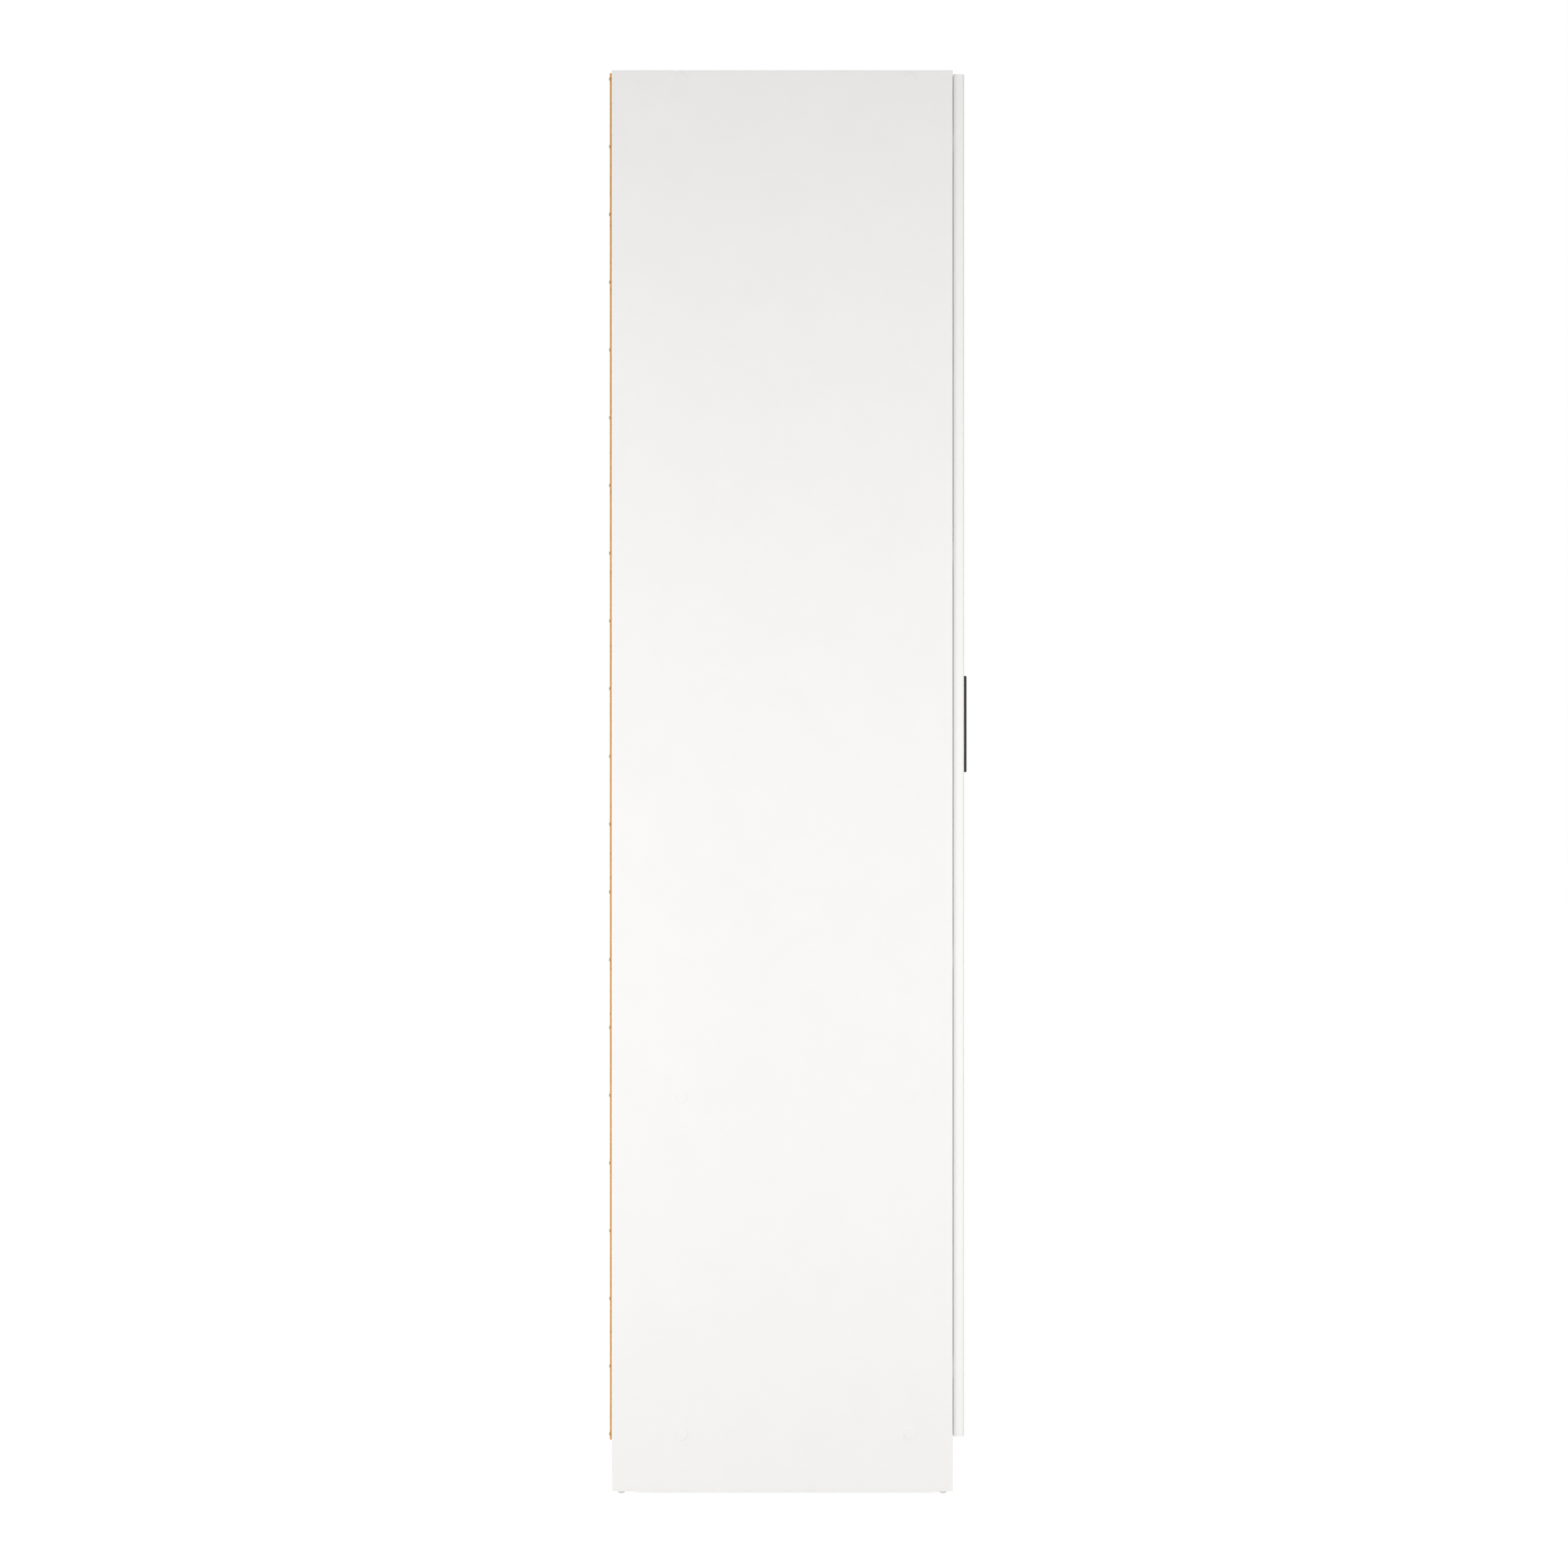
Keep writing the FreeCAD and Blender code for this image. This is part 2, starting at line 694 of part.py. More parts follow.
def handle():
    """The left handle: a rounded bar on two legs, drilled for its screws."""
    half = handle_width / 2
    reach = door_front - handle_projection
    ends = handle_length / 2
    bar = block(handle_x - half, handle_x + half, reach, reach + handle_bar, handle_z - ends, handle_z + ends)
    bar = bar.makeFillet(handle_round, bar.Edges)
    legs = []
    holes = []
    for z in handle_leg_heights:
        wide = handle_leg_width / 2
        tall = handle_leg_height / 2
        leg = block(handle_x - wide, handle_x + wide, reach + handle_bar / 2, door_front, z - tall, z + tall)
        corners = [edge for edge in leg.Edges if edge.BoundBox.YLength > handle_bar]
        legs.append(leg.makeFillet(handle_leg_round, corners))
        start = Vector(handle_x, door_front, z)
        holes.append(screw_hole(start, FORWARD, handle_screw_radius, handle_screw_bite))
    return bar.fuse(legs).removeSplitter().cut(holes)


def bumpers():
    """Soft pads on the left door's back, one at each end."""
    pads = []
    for z in bumper_heights:
        pad = rod(bumper_radius, Vector(door_in - bumper_inset, door_back, z), BACK, door_gap - bumper_play)
        rim = [edge for edge in pad.Edges if edge.BoundBox.YMin > door_back + bumper_round]
        pads.append(pad.makeFillet(bumper_round, rim))
    return pads


def save_carcass():
    """Boards, back and everything that stays with them."""
    save("left_side_panel", side_panel())
    save("right_side_panel", mirrored(side_panel()))
    save("bottom_panel", fixed_board("bottom_panel", 0))
    save("middle_shelf", fixed_board("middle_shelf", middle_shelf_setback))
    save("top_panel", fixed_board("top_panel", 0))
    save("hat_shelf", hat_shelf())
    save("plinth_front", plinth("plinth_front"))
    save("plinth_rear", plinth("plinth_rear"))
    save("back_panel_left", back_panel())
    save("back_panel_right", mirrored(back_panel()))
    save("back_joining_strip", back_joining_strip())
    save("clothes_rail", clothes_rail())
    save("rail_socket_left", rail_socket())
    save("rail_socket_right", mirrored(rail_socket()))
    save("wall_bracket_left", wall_bracket())
    save("wall_bracket_right", mirrored(wall_bracket()))


def save_carcass_fasteners():
    """Screws, caps, dowels, nails, pins and glides of the carcass."""
    def group(name, piece, seats, direction):
        save(name, both_sides([placed(piece, seat, direction) for seat in seats]))

    nail = headed(nail_head_radius, nail_head, nail_head_round, nail_radius, nail_length)
    dowel = rod(dowel_radius, Vector(), UP, dowel_length)
    pin = rod(shelf_pin_radius, Vector(0, 0, -shelf_pin_reach), UP, shelf_pin_reach + shelf_pin_in_side)
    pin_seats = [Vector(side_in, y, shelf_pin_level()) for y in shelf_pin_columns()]
    socket_screw = screw(
        socket_screw_head_radius, socket_screw_head, socket_screw_radius, socket_screw_length)
    bracket_screw = screw(
        bracket_screw_head_radius, bracket_screw_head, bracket_screw_radius, bracket_screw_length)
    group("panel_screws", panel_screw(), panel_screw_seats(), RIGHT)
    group("screw_caps", screw_cap(), panel_screw_seats(), LEFT)
    group("wood_dowels", dowel, dowel_starts(), RIGHT)
    group("back_nails", nail, side_nail_seats() + board_nail_seats(), FORWARD)
    group("floor_glides", glide(), glide_seats(), UP)
    group("shelf_pins", pin, pin_seats, LEFT)
    group("rail_socket_screws", socket_screw, socket_screw_seats(), LEFT)
    group("wall_bracket_screws", bracket_screw, bracket_screw_seats(), UP)


def save_hinges():
    """Hinge plates and arms on the carcass, cups and pins on the doors."""
    plate_screw = screw(plate_screw_head_radius, plate_screw_head, plate_screw_radius, plate_screw_length)
    arm_screw = screw(arm_screw_head_radius, arm_screw_head, arm_screw_radius, arm_thickness + arm_screw_bite)
    cup_screw = screw(cup_screw_head_radius, cup_screw_head, cup_screw_radius, cup_screw_length)
    arm_seats = [Vector(leg_out, front + arm_screw_line, z) for z in hinge_heights]
    plates = [hinge_plate(z) for z in hinge_heights]
    pins = [rod(pin_radius, pin_start(z)[0], UP, pin_start(z)[1]) for z in hinge_heights]
    cup_screws = [placed(cup_screw, seat, FORWARD) for seat in cup_screw_seats()]
    plate_screws = [placed(plate_screw, seat, LEFT) for seat in hinge_plate_screw_seats()]
    save("hinge_plate_screws", both_sides(plate_screws))
    save("hinge_arm_screws", both_sides([placed(arm_screw, seat, LEFT) for seat in arm_seats]))
    save("left_hinge_plates", plates)
    save("right_hinge_plates", [mirrored(plate) for plate in plates])
    save("left_hinge_pins", pins)
    save("right_hinge_pins", [mirrored(pin) for pin in pins])
    save("left_cup_screws", cup_screws)
    save("right_cup_screws", [mirrored(piece) for piece in cup_screws])
    for number, z in enumerate(hinge_heights, start=1):
        save("left_hinge_arm_%d" % number, hinge_arm(z))
        save("right_hinge_arm_%d" % number, mirrored(hinge_arm(z)))
        save("left_hinge_cup_%d" % number, hinge_cup(z))
        save("right_hinge_cup_%d" % number, mirrored(hinge_cup(z)))


def save_doors():
    """Door panels with their handles, handle screws and bumpers."""
    length = door_thickness + handle_screw_bite
    handle_screw = screw(handle_screw_head_radius, handle_screw_head, handle_screw_radius, length)
    screw_seats = [Vector(handle_x, door_back, z) for z in handle_leg_heights]
    left_pieces = {
        "door_panel": [door_panel()],
        "handle": [handle()],
        "handle_screws": [placed(handle_screw, seat, FORWARD) for seat in screw_seats],
        "door_bumpers": bumpers(),
    }
    for name, pieces in left_pieces.items():
        save("left_" + name, pieces)
        save("right_" + name, [mirrored(piece) for piece in pieces])


os.makedirs("parts", exist_ok=True)
save_carcass()
save_carcass_fasteners()
save_hinges()
save_doors()
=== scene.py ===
"""White two-door wardrobe: finishes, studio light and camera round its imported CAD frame."""

import math

import bpy
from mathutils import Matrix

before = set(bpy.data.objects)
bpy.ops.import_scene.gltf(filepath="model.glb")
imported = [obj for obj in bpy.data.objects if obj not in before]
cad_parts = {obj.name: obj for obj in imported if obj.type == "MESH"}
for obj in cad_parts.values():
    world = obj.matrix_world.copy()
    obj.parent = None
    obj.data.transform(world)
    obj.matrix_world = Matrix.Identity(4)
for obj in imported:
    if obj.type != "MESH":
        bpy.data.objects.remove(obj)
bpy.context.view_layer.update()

# A Mix node's colour sockets share their names with its other sockets, so they go by number.
COLOUR_A = 6
COLOUR_B = 7
COLOUR_OUT = 2

# A surface faces an axis where that part of its normal is larger than this.
SQUARE_ON = 0.5

# Across a board's front radius, the Y of the normal stays within this reach of this middle.
RADIUS_MIDDLE = -0.6
RADIUS_REACH = 0.38

EDGING_WHITE = "#F4F3F1"
# Painted shade: the greyer white painted on the doors' front radius, where the rounded edge turns from the
# light.
PAINTED_SHADE_ON_RADIUS = "#E2E1DF"
LIGHT_WHITE = "#FFFFFF"

# How closely marks follow each other along X, Y and Z. Less than 1 draws them out that way.
EVEN = (1, 1, 1)
ALONG_RAIL = (0.05, 1, 1)
ALONG_DOWEL = (0.15, 1, 1)
ALONG_STRIP = (1, 1, 0.02)

SIDES = ("left", "right")
HINGES_A_DOOR = 4

# Strengths of white: the light that the room gives, its look to the eye, and the floor's own glow to the eye.
ROOM_LIGHT = 0.404
ROOM_LOOK = 1.0
FLOOR_GLOW = 0.85

# Studio sizes and places, in metres.
FLOOR_SIZE = 60
CORNER_SOFTBOX_SIZE = (1.6, 1.5)
TOP_SOFTBOX_SIZE = (2.0, 2.0)
CAMERA_PLACE = (-6.940, 0.0151, 1.0473)
CAMERA_RANGE = 200

# The camera's lens and picture width, in millimetres.
LENS_LENGTH = 100.24
PICTURE_WIDTH = 36

# A new lamp or camera looks straight down. This turn about X, in degrees, makes it look level.
LEVEL = 90
TOWARDS_RIGHT_SIDE = -90


def linear(colour):
    """An sRGB hex colour as linear red, green and blue, with full alpha."""
    shares = [int(colour[i:i + 2], 16) / 255 for i in (1, 3, 5)]
    return [s / 12.92 if s <= 0.04045 else ((s + 0.055) / 1.055) ** 2.4 for s in shares] + [1.0]


def per_metre(millimetres):
    """The pattern scale that gives marks of this size on coordinates in metres."""
    return 1000 / millimetres


def add_node(tree, kind, inputs, **settings):
    """Adds a node with its settings, and fills its inputs with values or other nodes' outputs."""
    node = tree.nodes.new("ShaderNode" + kind)
    for name, value in settings.items():
        setattr(node, name, value)
    for name, value in inputs.items():
        if isinstance(value, bpy.types.NodeSocket):
            tree.links.new(value, node.inputs[name])
        else:
            node.inputs[name].default_value = value
    return node.outputs


def new_finish(name):
    """An empty node material, its node tree, and the coordinates of the piece that wears it."""
    material = bpy.data.materials.new(name)
    material.use_nodes = True
    material.node_tree.nodes.clear()
    return material, material.node_tree, add_node(material.node_tree, "TexCoord", {})


def melamine_colour(tree, cloud, strip, facing, front_radius):
    """Slightly warm white paper, a shade lighter on the edging, with a colour of its own on the front radius,
    which on the doors is a painted shade.
    """
    paper = add_node(tree, "Mix", {
        "Factor": cloud, COLOUR_A: linear("#F1F0EE"), COLOUR_B: linear("#F4F3F1")}, data_type="RGBA")
    flats = add_node(tree, "Mix", {
        "Factor": strip, COLOUR_A: paper[COLOUR_OUT], COLOUR_B: linear(EDGING_WHITE)}, data_type="RGBA")
    rolled = add_node(tree, "Math", {0: facing["Y"], 1: RADIUS_MIDDLE, 2: RADIUS_REACH}, operation="COMPARE")
    colour = add_node(tree, "Mix", {
        "Factor": rolled["Value"], COLOUR_A: flats[COLOUR_OUT], COLOUR_B: linear(front_radius)},
        data_type="RGBA")
    return colour[COLOUR_OUT]


def melamine_board(name, face_axis, front_radius):
    """White melamine paper on chipboard with white edging strips; face_axis is square to the broad faces.

    The paper is an even white whose pearl grain breaks up a soft shine, and the strips are smoother.
    Where the edging rolls over to the front, it has the colour front_radius.
    """
    material, tree, places = new_finish(name)
    cloud = add_node(tree, "TexNoise", {"Vector": places["Object"], "Scale": per_metre(60), "Detail": 3})
    # The real pearl grain is under a millimetre. It is drawn at 3 mm so that it shows.
    grain = add_node(tree, "TexNoise", {"Vector": places["Object"], "Scale": per_metre(3), "Detail": 2})
    facing = add_node(tree, "SeparateXYZ", {"Vector": places["Normal"]})
    turned = add_node(tree, "Math", {0: facing[face_axis]}, operation="ABSOLUTE")
    strip = add_node(tree, "Math", {0: turned["Value"], 1: SQUARE_ON}, operation="LESS_THAN")
    colour = melamine_colour(tree, cloud["Fac"], strip["Value"], facing, front_radius)
    paper_shine = add_node(tree, "MapRange", {"Value": grain["Fac"], "To Min": 0.54, "To Max": 0.70})
    shine = add_node(tree, "Mix", {"Factor": strip["Value"], "A": paper_shine["Result"], "B": 0.48})
    relief = add_node(tree, "MapRange", {"Value": strip["Value"], "To Min": 1.0, "To Max": 0.2})
    height = add_node(tree, "Math", {0: grain["Fac"], 1: relief["Result"]}, operation="MULTIPLY")
    bump = add_node(tree, "Bump", {"Strength": 0.5, "Distance": 0.00004, "Height": height["Value"]})
    shader = add_node(tree, "BsdfPrincipled", {
        "Base Color": colour, "Roughness": shine["Result"], "IOR": 1.5, "Specular IOR Level": 0.2,
        "Normal": bump["Normal"]})
    add_node(tree, "OutputMaterial", {"Surface": shader["BSDF"]})
    return material


def hardboard_colour(tree, cloud, fibre, facing, inside):
    """Bright tan on cut edges, duller brown behind, darker flecks on both, and white lacquer inside."""
    cut = add_node(tree, "Mix", {
        "Factor": cloud, COLOUR_A: linear("#CD954E"), COLOUR_B: linear("#DBA75E")}, data_type="RGBA")
    pressed = add_node(tree, "Mix", {
        "Factor": cloud, COLOUR_A: linear("#B08558"), COLOUR_B: linear("#C0966A")}, data_type="RGBA")
    behind = add_node(tree, "Math", {0: facing["Y"], 1: SQUARE_ON}, operation="GREATER_THAN")
    brown = add_node(tree, "Mix", {
        "Factor": behind["Value"], COLOUR_A: cut[COLOUR_OUT], COLOUR_B: pressed[COLOUR_OUT]},
        data_type="RGBA")
    flecks = add_node(tree, "MapRange", {
        "Value": fibre, "From Min": 0.56, "From Max": 0.70}, interpolation_type="SMOOTHSTEP")
    flecked = add_node(tree, "Mix", {
        "Factor": flecks["Result"], COLOUR_A: brown[COLOUR_OUT], COLOUR_B: linear("#A3703A")},
        data_type="RGBA")
    lacquer = add_node(tree, "Mix", {
        "Factor": cloud, COLOUR_A: linear("#E9E8E5"), COLOUR_B: linear("#EEEDEB")}, data_type="RGBA")
    colour = add_node(tree, "Mix", {
        "Factor": inside, COLOUR_A: flecked[COLOUR_OUT], COLOUR_B: lacquer[COLOUR_OUT]}, data_type="RGBA")
    return colour[COLOUR_OUT]


def hardboard():
    """Pressed wood fibre: a dry, matt, flecked brown, with a thin coat of smoother white inside."""
    material, tree, places = new_finish("hardboard_white_inside")
    cloud = add_node(tree, "TexNoise", {"Vector": places["Object"], "Scale": per_metre(35), "Detail": 4})
    fibre = add_node(tree, "TexNoise", {
        "Vector": places["Object"], "Scale": per_metre(2.5), "Detail": 3, "Roughness": 0.65})
    facing = add_node(tree, "SeparateXYZ", {"Vector": places["Normal"]})
    inside = add_node(tree, "Math", {0: facing["Y"], 1: -SQUARE_ON}, operation="LESS_THAN")
    colour = hardboard_colour(tree, cloud["Fac"], fibre["Fac"], facing, inside["Value"])
    raw_shine = add_node(tree, "MapRange", {"Value": fibre["Fac"], "To Min": 0.68, "To Max": 0.86})
    shine = add_node(tree, "Mix", {"Factor": inside["Value"], "A": raw_shine["Result"], "B": 0.5})
    bump = add_node(tree, "Bump", {"Strength": 0.5, "Distance": 0.0001, "Height": fibre["Fac"]})
    shader = add_node(tree, "BsdfPrincipled", {
        "Base Color": colour, "Roughness": shine["Result"], "IOR": 1.5, "Specular IOR Level": 0.25,
        "Normal": bump["Normal"]})
    add_node(tree, "OutputMaterial", {"Surface": shader["BSDF"]})
    return material


def white_plastic(name, dark, light, grain_mm, stretch=EVEN):
    """Moulded or drawn white plastic: an even white with a soft gloss and a faint grain."""
    material, tree, places = new_finish(name)
    drawn = add_node(tree, "Mapping", {"Vector": places["Object"], "Scale": stretch})
    grain = add_node(tree, "TexNoise", {
        "Vector": drawn["Vector"], "Scale": per_metre(grain_mm), "Detail": 2})
    colour = add_node(tree, "Mix", {
        "Factor": grain["Fac"], COLOUR_A: linear(dark), COLOUR_B: linear(light)}, data_type="RGBA")
    shine = add_node(tree, "MapRange", {"Value": grain["Fac"], "To Min": 0.32, "To Max": 0.44})
    bump = add_node(tree, "Bump", {"Strength": 0.4, "Distance": 0.00004, "Height": grain["Fac"]})
    shader = add_node(tree, "BsdfPrincipled", {
        "Base Color": colour[COLOUR_OUT], "Roughness": shine["Result"], "IOR": 1.46,
        "Normal": bump["Normal"]})
    add_node(tree, "OutputMaterial", {"Surface": shader["BSDF"]})
    return material


def plated_metal(name, dark, light, smooth, rough, grain_mm, stretch=EVEN):
    """Plated or drawn metal: a mirror between smooth and rough, softened by faint clouds or draw lines."""
    material, tree, places = new_finish(name)
    drawn = add_node(tree, "Mapping", {"Vector": places["Object"], "Scale": stretch})
    grain = add_node(tree, "TexNoise", {
        "Vector": drawn["Vector"], "Scale": per_metre(grain_mm), "Detail": 3})
    colour = add_node(tree, "Mix", {
        "Factor": grain["Fac"], COLOUR_A: linear(dark), COLOUR_B: linear(light)}, data_type="RGBA")
    shine = add_node(tree, "MapRange", {"Value": grain["Fac"], "To Min": smooth, "To Max": rough})
    bump = add_node(tree, "Bump", {"Strength": 0.3, "Distance": 0.00001, "Height": grain["Fac"]})
    shader = add_node(tree, "BsdfPrincipled", {
        "Base Color": colour[COLOUR_OUT], "Metallic": 1.0, "Roughness": shine["Result"],
        "Normal": bump["Normal"]})
    add_node(tree, "OutputMaterial", {"Surface": shader["BSDF"]})
    return material


def black_powder_coat():
    """Matt black powder coat on cast metal: a near-black with a fine pebbled skin and a dull, broad shine."""
    material, tree, places = new_finish("black_powder_coat")
    # The real pebbles are about 0.3 mm. They are drawn at 0.8 mm so that they show.
    pebbles = add_node(tree, "TexNoise", {"Vector": places["Object"], "Scale": per_metre(0.8), "Detail": 2})
    colour = add_node(tree, "Mix", {
        "Factor": pebbles["Fac"], COLOUR_A: linear("#151314"), COLOUR_B: linear("#201E1F")}, data_type="RGBA")
    shine = add_node(tree, "MapRange", {"Value": pebbles["Fac"], "To Min": 0.42, "To Max": 0.6})
    bump = add_node(tree, "Bump", {"Strength": 0.5, "Distance": 0.00006, "Height": pebbles["Fac"]})
    shader = add_node(tree, "BsdfPrincipled", {
        "Base Color": colour[COLOUR_OUT], "Roughness": shine["Result"], "IOR": 1.5,
        "Specular IOR Level": 0.25, "Normal": bump["Normal"]})
    add_node(tree, "OutputMaterial", {"Surface": shader["BSDF"]})
    return material


def beech():
    """Turned beech: pale pinkish tan with short darker ray flecks along the dowel, dry and matt."""
    material, tree, places = new_finish("beech")
    along = add_node(tree, "Mapping", {"Vector": places["Object"], "Scale": ALONG_DOWEL})
    grain = add_node(tree, "TexNoise", {"Vector": along["Vector"], "Scale": per_metre(0.9), "Detail": 3})
    flecks = add_node(tree, "MapRange", {
        "Value": grain["Fac"], "From Min": 0.54, "From Max": 0.68}, interpolation_type="SMOOTHSTEP")
    colour = add_node(tree, "Mix", {
        "Factor": flecks["Result"], COLOUR_A: linear("#DDBB92"), COLOUR_B: linear("#B98A5E")},
        data_type="RGBA")
    shine = add_node(tree, "MapRange", {"Value": grain["Fac"], "To Min": 0.6, "To Max": 0.75})
    bump = add_node(tree, "Bump", {"Strength": 0.4, "Distance": 0.00008, "Height": grain["Fac"]})
    shader = add_node(tree, "BsdfPrincipled", {
        "Base Color": colour[COLOUR_OUT], "Roughness": shine["Result"], "IOR": 1.5,
        "Normal": bump["Normal"]})
    add_node(tree, "OutputMaterial", {"Surface": shader["BSDF"]})
    return material


def clear_soft_pad():
    """Cast soft polyurethane: a clear, faintly milky dome with a wet shine."""
    material, tree, places = new_finish("clear_polyurethane")
    milk = add_node(tree, "TexNoise", {"Vector": places["Object"], "Scale": per_metre(2), "Detail": 2})
    colour = add_node(tree, "Mix", {
        "Factor": milk["Fac"], COLOUR_A: linear("#E6E8E8"), COLOUR_B: linear("#F2F3F3")}, data_type="RGBA")
    shine = add_node(tree, "MapRange", {"Value": milk["Fac"], "To Min": 0.1, "To Max": 0.2})
    shader = add_node(tree, "BsdfPrincipled", {
        "Base Color": colour[COLOUR_OUT], "Roughness": shine["Result"], "IOR": 1.49,
        "Transmission Weight": 0.8})
    add_node(tree, "OutputMaterial", {"Surface": shader["BSDF"]})
    return material


def dress(material, *names):
    """Gives CAD nodes their finish."""
    for name in names:
        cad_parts[name].material_slots[0].material = material


def dress_boards():
    """Finishes of the cabinet's boards, the doors and the back."""
    dress(melamine_board("melamine_upright", "X", EDGING_WHITE), "left_side_panel", "right_side_panel")
    shelf_board = melamine_board("melamine_shelf", "Z", EDGING_WHITE)
    dress(shelf_board, "bottom_panel", "middle_shelf", "hat_shelf", "top_panel")
    dress(melamine_board("melamine_plinth", "Y", EDGING_WHITE), "plinth_front", "plinth_rear")
    # The doors' front radius is painted a shade greyer: painted shade, a faint grey line where the rounded
    # edge turns from the light.
    dress(melamine_board("melamine_door", "Y", PAINTED_SHADE_ON_RADIUS), "left_door_panel", "right_door_panel")
    dress(hardboard(), "back_panel_left", "back_panel_right")
    # Drawn through a die, so its grain runs along the strip.
    joining_pvc = white_plastic("extruded_pvc", "#E6E5E1", "#EDECE9", grain_mm=1.5, stretch=ALONG_STRIP)
    dress(joining_pvc, "back_joining_strip")


def dress_small_parts():
    """Finishes of the caps, nails, glides, rail and dowels."""
    # Thin moulded caps, almost the white of the board that they sit on.
    dress(white_plastic("moulded_cap_plastic", "#F0EFED", "#F3F2F0", grain_mm=1.2), "screw_caps")
    # Darkened wire: dull grey points on the brown back.
    nail_wire = plated_metal("dark_nail_wire", "#45433F", "#67645F", smooth=0.38, rough=0.6, grain_mm=1.5)
    dress(nail_wire, "back_nails")
    # Pressed and plated bright: a pale glint under the sides.
    glide_steel = plated_metal(
        "bright_glide_steel", "#BEBDBC", "#CFCECD", smooth=0.25, rough=0.4, grain_mm=2)
    dress(glide_steel, "floor_glides")
    # A clear mirror with fine draw lines along the tube.
    chrome = plated_metal(
        "chromed_tube", "#CDD0D3", "#D9DBDD", smooth=0.06, rough=0.14, grain_mm=2, stretch=ALONG_RAIL)
    dress(chrome, "clothes_rail")
    dress(beech(), "wood_dowels")


def dress_plated_fittings():
    """Finishes of the rail sockets, shelf pins, brackets, hinges and screws."""
    # A pale, slightly warm mirror with a soft blur.
    nickel = plated_metal("nickel_plated_steel", "#C2BEB7", "#CDC9C3", smooth=0.2, rough=0.28, grain_mm=3)
    dress(nickel, "rail_socket_left", "rail_socket_right", "shelf_pins")
    # A cool, duller and cloudier grey.
    zinc = plated_metal("zinc_plated_steel", "#B7BDC4", "#CDD1D5", smooth=0.28, rough=0.46, grain_mm=2)
    dress(zinc, "wall_bracket_left", "wall_bracket_right", "wall_bracket_screws", "panel_screws")
    dress(zinc, "rail_socket_screws", "hinge_plate_screws", "hinge_arm_screws")
    for side in SIDES:
        for number in range(1, HINGES_A_DOOR + 1):
            dress(nickel, f"{side}_hinge_arm_{number}", f"{side}_hinge_cup_{number}")
        dress(nickel, f"{side}_hinge_plates", f"{side}_hinge_pins")
        dress(zinc, f"{side}_cup_screws", f"{side}_handle_screws")


def dress_handles_and_pads():
    """Finishes of the doors' handles and soft pads."""
    coat = black_powder_coat()
    pad = clear_soft_pad()
    for side in SIDES:
        dress(coat, f"{side}_handle")
        dress(pad, f"{side}_door_bumpers")


def seen_ray(tree):
    """1 for rays that the eye follows, straight, off a shine or through clear plastic, and 0 for the rest."""
    rays = add_node(tree, "LightPath", {})
    seen = rays["Is Camera Ray"]
    for kind in ("Is Transmission Ray", "Is Glossy Ray"):
        seen = add_node(tree, "Math", {0: seen, 1: rays[kind]}, operation="MAXIMUM")["Value"]
    return seen


def white_room():
    """A white surround that lights the object softly from all round."""
    room = bpy.data.worlds.new("white_room")
    room.use_nodes = True
    tree = room.node_tree
    tree.nodes.clear()
    strength = add_node(tree, "MapRange", {
        "Value": seen_ray(tree), "To Min": ROOM_LIGHT, "To Max": ROOM_LOOK})
    sky = add_node(tree, "Background", {"Color": linear(LIGHT_WHITE), "Strength": strength["Result"]})
    add_node(tree, "OutputWorld", {"Surface": sky["Background"]})
    bpy.context.scene.world = room


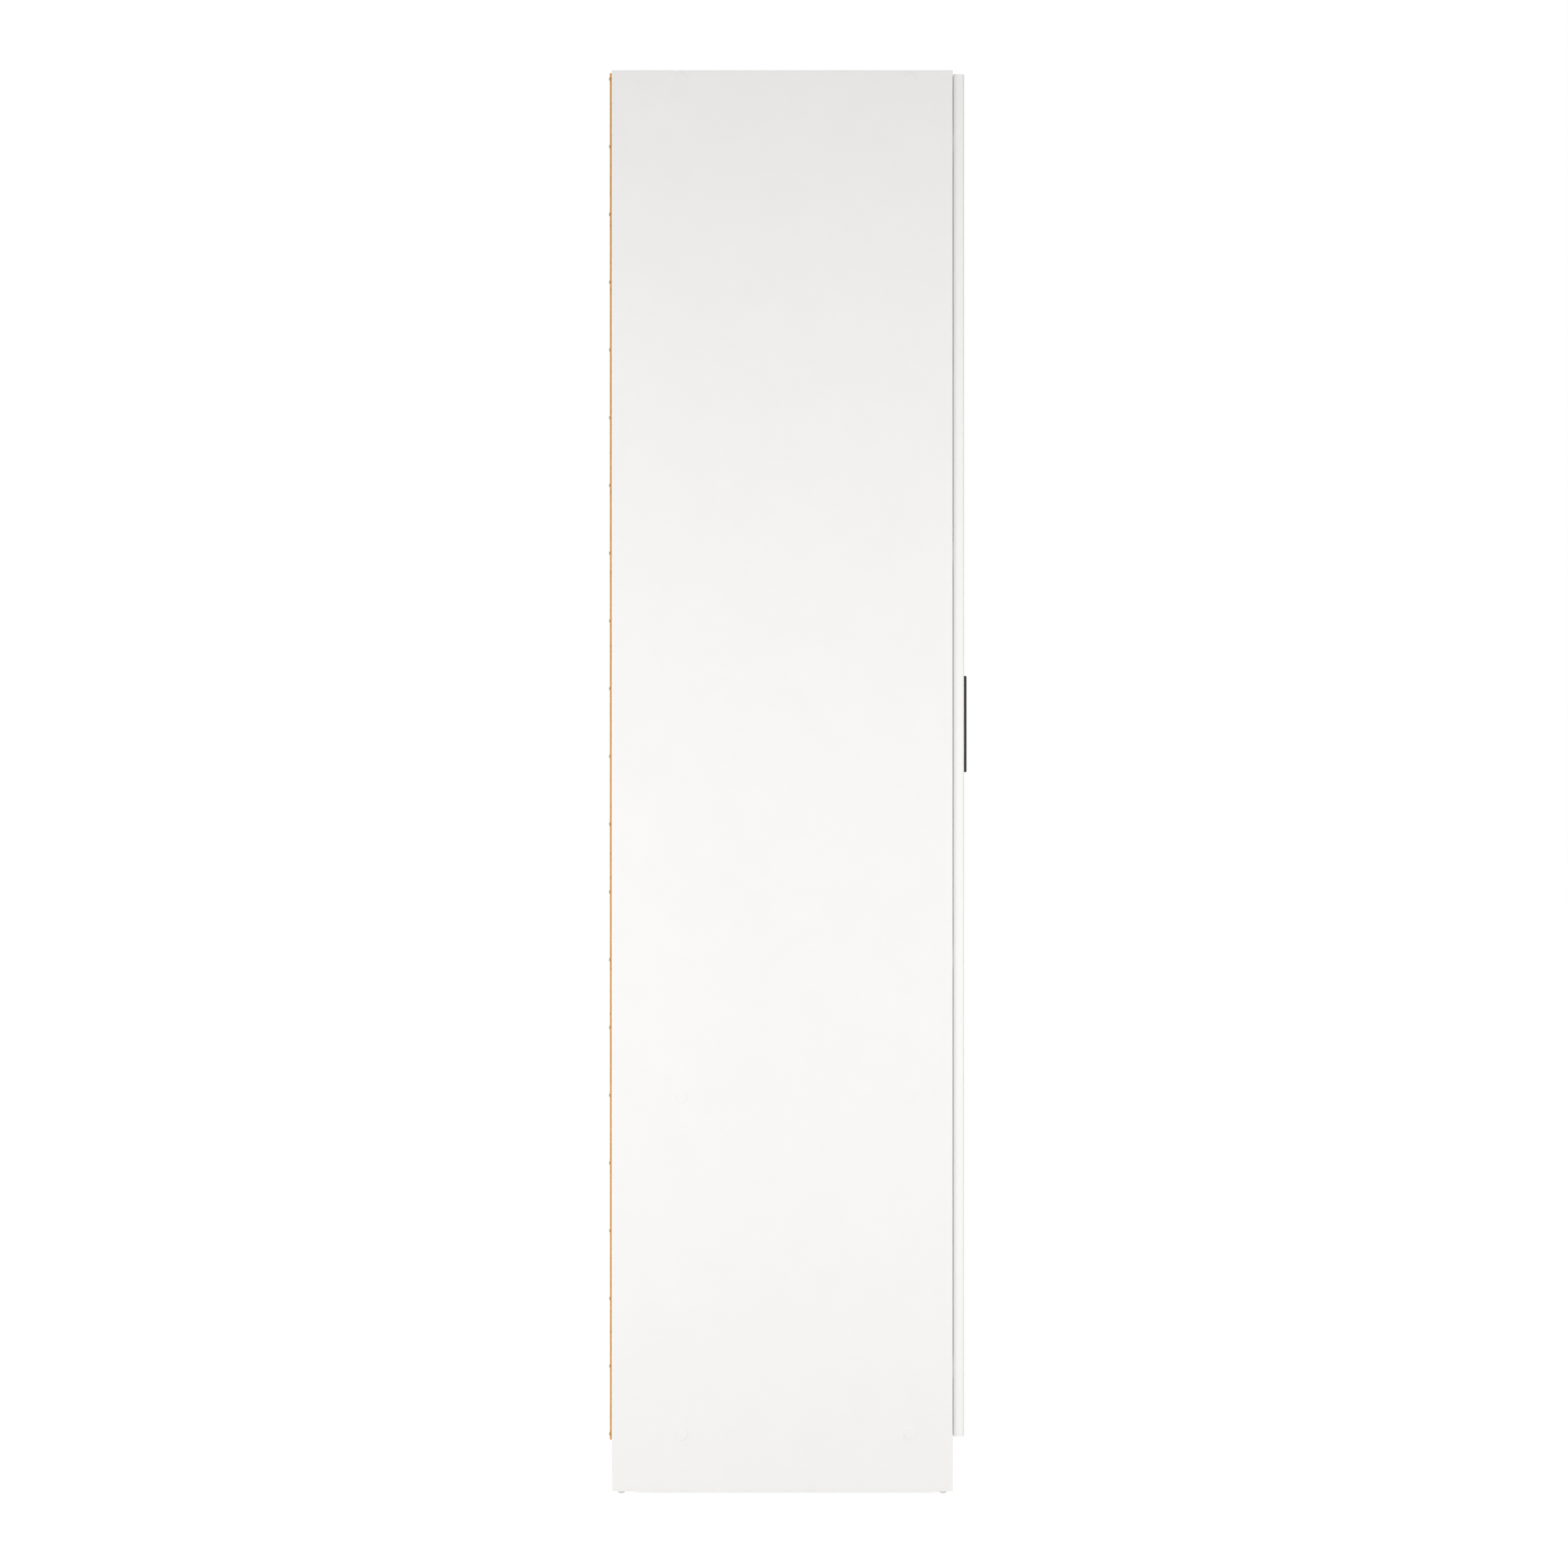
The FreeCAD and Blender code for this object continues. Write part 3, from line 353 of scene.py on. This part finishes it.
def white_floor():
    """A matt studio floor that stays white to the eye and keeps the wardrobe's soft contact shadow."""
    bpy.ops.mesh.primitive_plane_add(size=FLOOR_SIZE)
    floor = bpy.context.object
    floor.name = "studio_floor"
    material, tree, places = new_finish("matt_white_floor")
    cloud = add_node(tree, "TexNoise", {"Vector": places["Object"], "Scale": per_metre(300), "Detail": 2})
    tone = add_node(tree, "Mix", {
        "Factor": cloud["Fac"], COLOUR_A: linear("#B2B2B1"), COLOUR_B: linear("#B7B7B6")}, data_type="RGBA")
    matt = add_node(tree, "BsdfDiffuse", {"Color": tone[COLOUR_OUT]})
    strength = add_node(tree, "MapRange", {"Value": seen_ray(tree), "To Min": 0.0, "To Max": FLOOR_GLOW})
    glow = add_node(tree, "Emission", {"Color": linear(LIGHT_WHITE), "Strength": strength["Result"]})
    both = add_node(tree, "AddShader", {0: matt["BSDF"], 1: glow["Emission"]})
    add_node(tree, "OutputMaterial", {"Surface": both["Shader"]})
    floor.data.materials.append(material)


def add_holder(name, data, place, turn):
    """Puts a lamp or camera at a place, turned about X, Y and Z as given in degrees."""
    holder = bpy.data.objects.new(name, data)
    holder.location = place
    holder.rotation_euler = [math.radians(angle) for angle in turn]
    bpy.context.scene.collection.objects.link(holder)
    return holder


def softbox(name, place, turn, size, watts):
    """A large soft lamp that the camera doesn't see."""
    lamp = bpy.data.lights.new(name, "AREA")
    lamp.shape = "RECTANGLE"
    lamp.size, lamp.size_y = size
    lamp.energy = watts
    add_holder(name, lamp, place, turn).visible_camera = False


def corner_softbox(name, place, heading, watts):
    """An upright softbox that shines level; its heading is in degrees about Z."""
    softbox(name, place, (LEVEL, 0, heading), CORNER_SOFTBOX_SIZE, watts)


def studio_light():
    """Low soft light from two corners of the left side, and weaker light from the far corners and above."""
    corner_softbox("rear_left_softbox", (-2.4, 2.5, 0.82), heading=-143, watts=54.3)
    corner_softbox("front_left_softbox", (-2.95, -2.15, 0.82), heading=-49, watts=51.5)
    corner_softbox("front_right_softbox", (2.6, -2.9, 1.0), heading=42, watts=42)
    corner_softbox("rear_right_softbox", (2.6, 2.9, 1.0), heading=138, watts=42)
    softbox("top_softbox", (0.0, 0.0, 4.6), (0, 0, 0), TOP_SOFTBOX_SIZE, watts=14)


def side_camera():
    """A level camera square to the left side, as far away as the photograph's perspective shows."""
    camera = bpy.data.cameras.new("side_camera")
    camera.sensor_width = PICTURE_WIDTH
    camera.lens = LENS_LENGTH
    camera.clip_end = CAMERA_RANGE
    turn = (LEVEL, 0, TOWARDS_RIGHT_SIDE)
    bpy.context.scene.camera = add_holder("side_camera", camera, CAMERA_PLACE, turn)


dress_boards()
dress_small_parts()
dress_plated_fittings()
dress_handles_and_pads()
white_room()
white_floor()
studio_light()
side_camera()
bpy.context.scene.view_settings.view_transform = "Standard"
